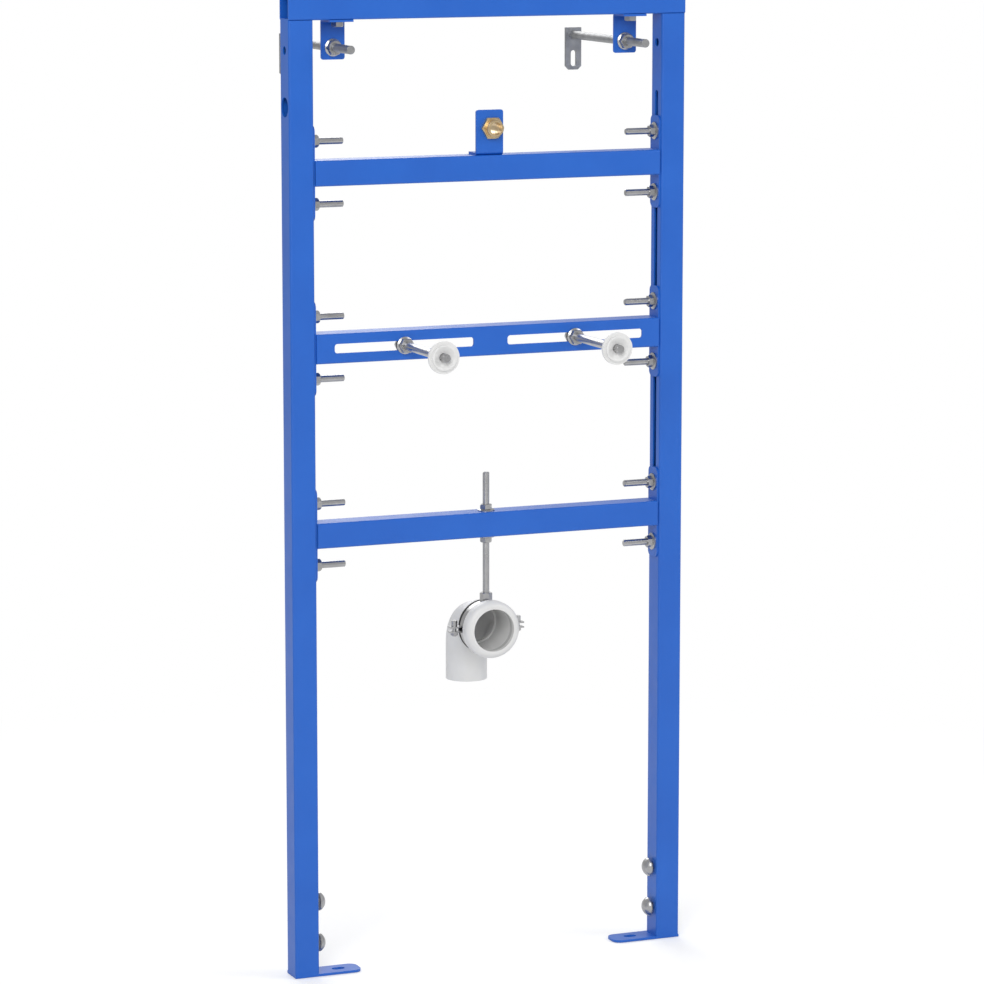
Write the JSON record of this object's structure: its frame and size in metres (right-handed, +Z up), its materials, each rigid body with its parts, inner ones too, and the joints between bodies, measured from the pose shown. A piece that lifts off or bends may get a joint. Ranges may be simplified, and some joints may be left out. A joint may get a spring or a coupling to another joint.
{
  "type": "urinal installation frame",
  "caption": "Open upright frame of blue square tube that holds a wall-hung urinal: adjustable cross bars carry the water inlet, the hanging studs and a clamped drain elbow.",
  "frame": {"origin": "on the floor, under the axis of the left post, on the underside of its foot plate", "axes": "+X runs to the right along the wall, +Y points back to the wall, +Z points up"},
  "size_m": [0.5, 0.318, 1.16],
  "materials": {
    "blue_paint": "smooth satin powder coat, bright blue",
    "zinc": "bright zinc plating, semi-gloss",
    "bare_steel": "dull grey galvanised steel",
    "brass": "turned brass, semi-gloss",
    "white_plastic": "moulded white plastic, matt",
    "pipe_plastic": "moulded pale grey-white pipe plastic, semi-gloss",
    "black_rubber": "matt black rubber",
    "grey_seal": "matt pale grey seal rubber"
  },
  "bodies": {
    "root": {"left_post": "blue_paint", "right_post": "blue_paint", "top_rail": "blue_paint", "left_foot": "blue_paint", "right_foot": "blue_paint", "left_foot_bolts": "zinc", "right_foot_bolts": "zinc", "foot_bolt_nuts": "zinc", "supply_bar": "blue_paint", "mounting_bar": "blue_paint", "drain_bar": "blue_paint", "supply_bar_end_plates": "blue_paint", "mounting_bar_end_plates": "blue_paint", "drain_bar_end_plates": "blue_paint", "supply_bar_clamp_bolts": "zinc", "mounting_bar_clamp_bolts": "zinc", "drain_bar_clamp_bolts": "zinc", "supply_bar_clamp_nuts": "zinc", "mounting_bar_clamp_nuts": "zinc", "drain_bar_clamp_nuts": "zinc", "left_wall_bracket": "blue_paint", "right_wall_bracket": "blue_paint", "wall_bracket_bolts": "zinc", "wall_bracket_nuts": "zinc", "left_tie_rod": "bare_steel", "right_tie_rod": "bare_steel", "tie_rod_nuts": "zinc", "left_wall_plate": "bare_steel", "right_wall_plate": "bare_steel", "supply_bracket": "blue_paint", "supply_connector": "brass", "supply_lock_nut": "brass", "left_urinal_stud": "zinc", "right_urinal_stud": "zinc", "urinal_stud_nuts": "zinc", "left_stud_disc": "white_plastic", "right_stud_disc": "white_plastic", "drain_rod": "zinc", "drain_rod_nuts": "zinc", "clamp_upper_half": "zinc", "clamp_lower_half": "zinc", "clamp_lining": "black_rubber", "clamp_screws": "zinc", "drain_elbow": "pipe_plastic", "socket_seal": "grey_seal"}
  },
  "joints": []
}
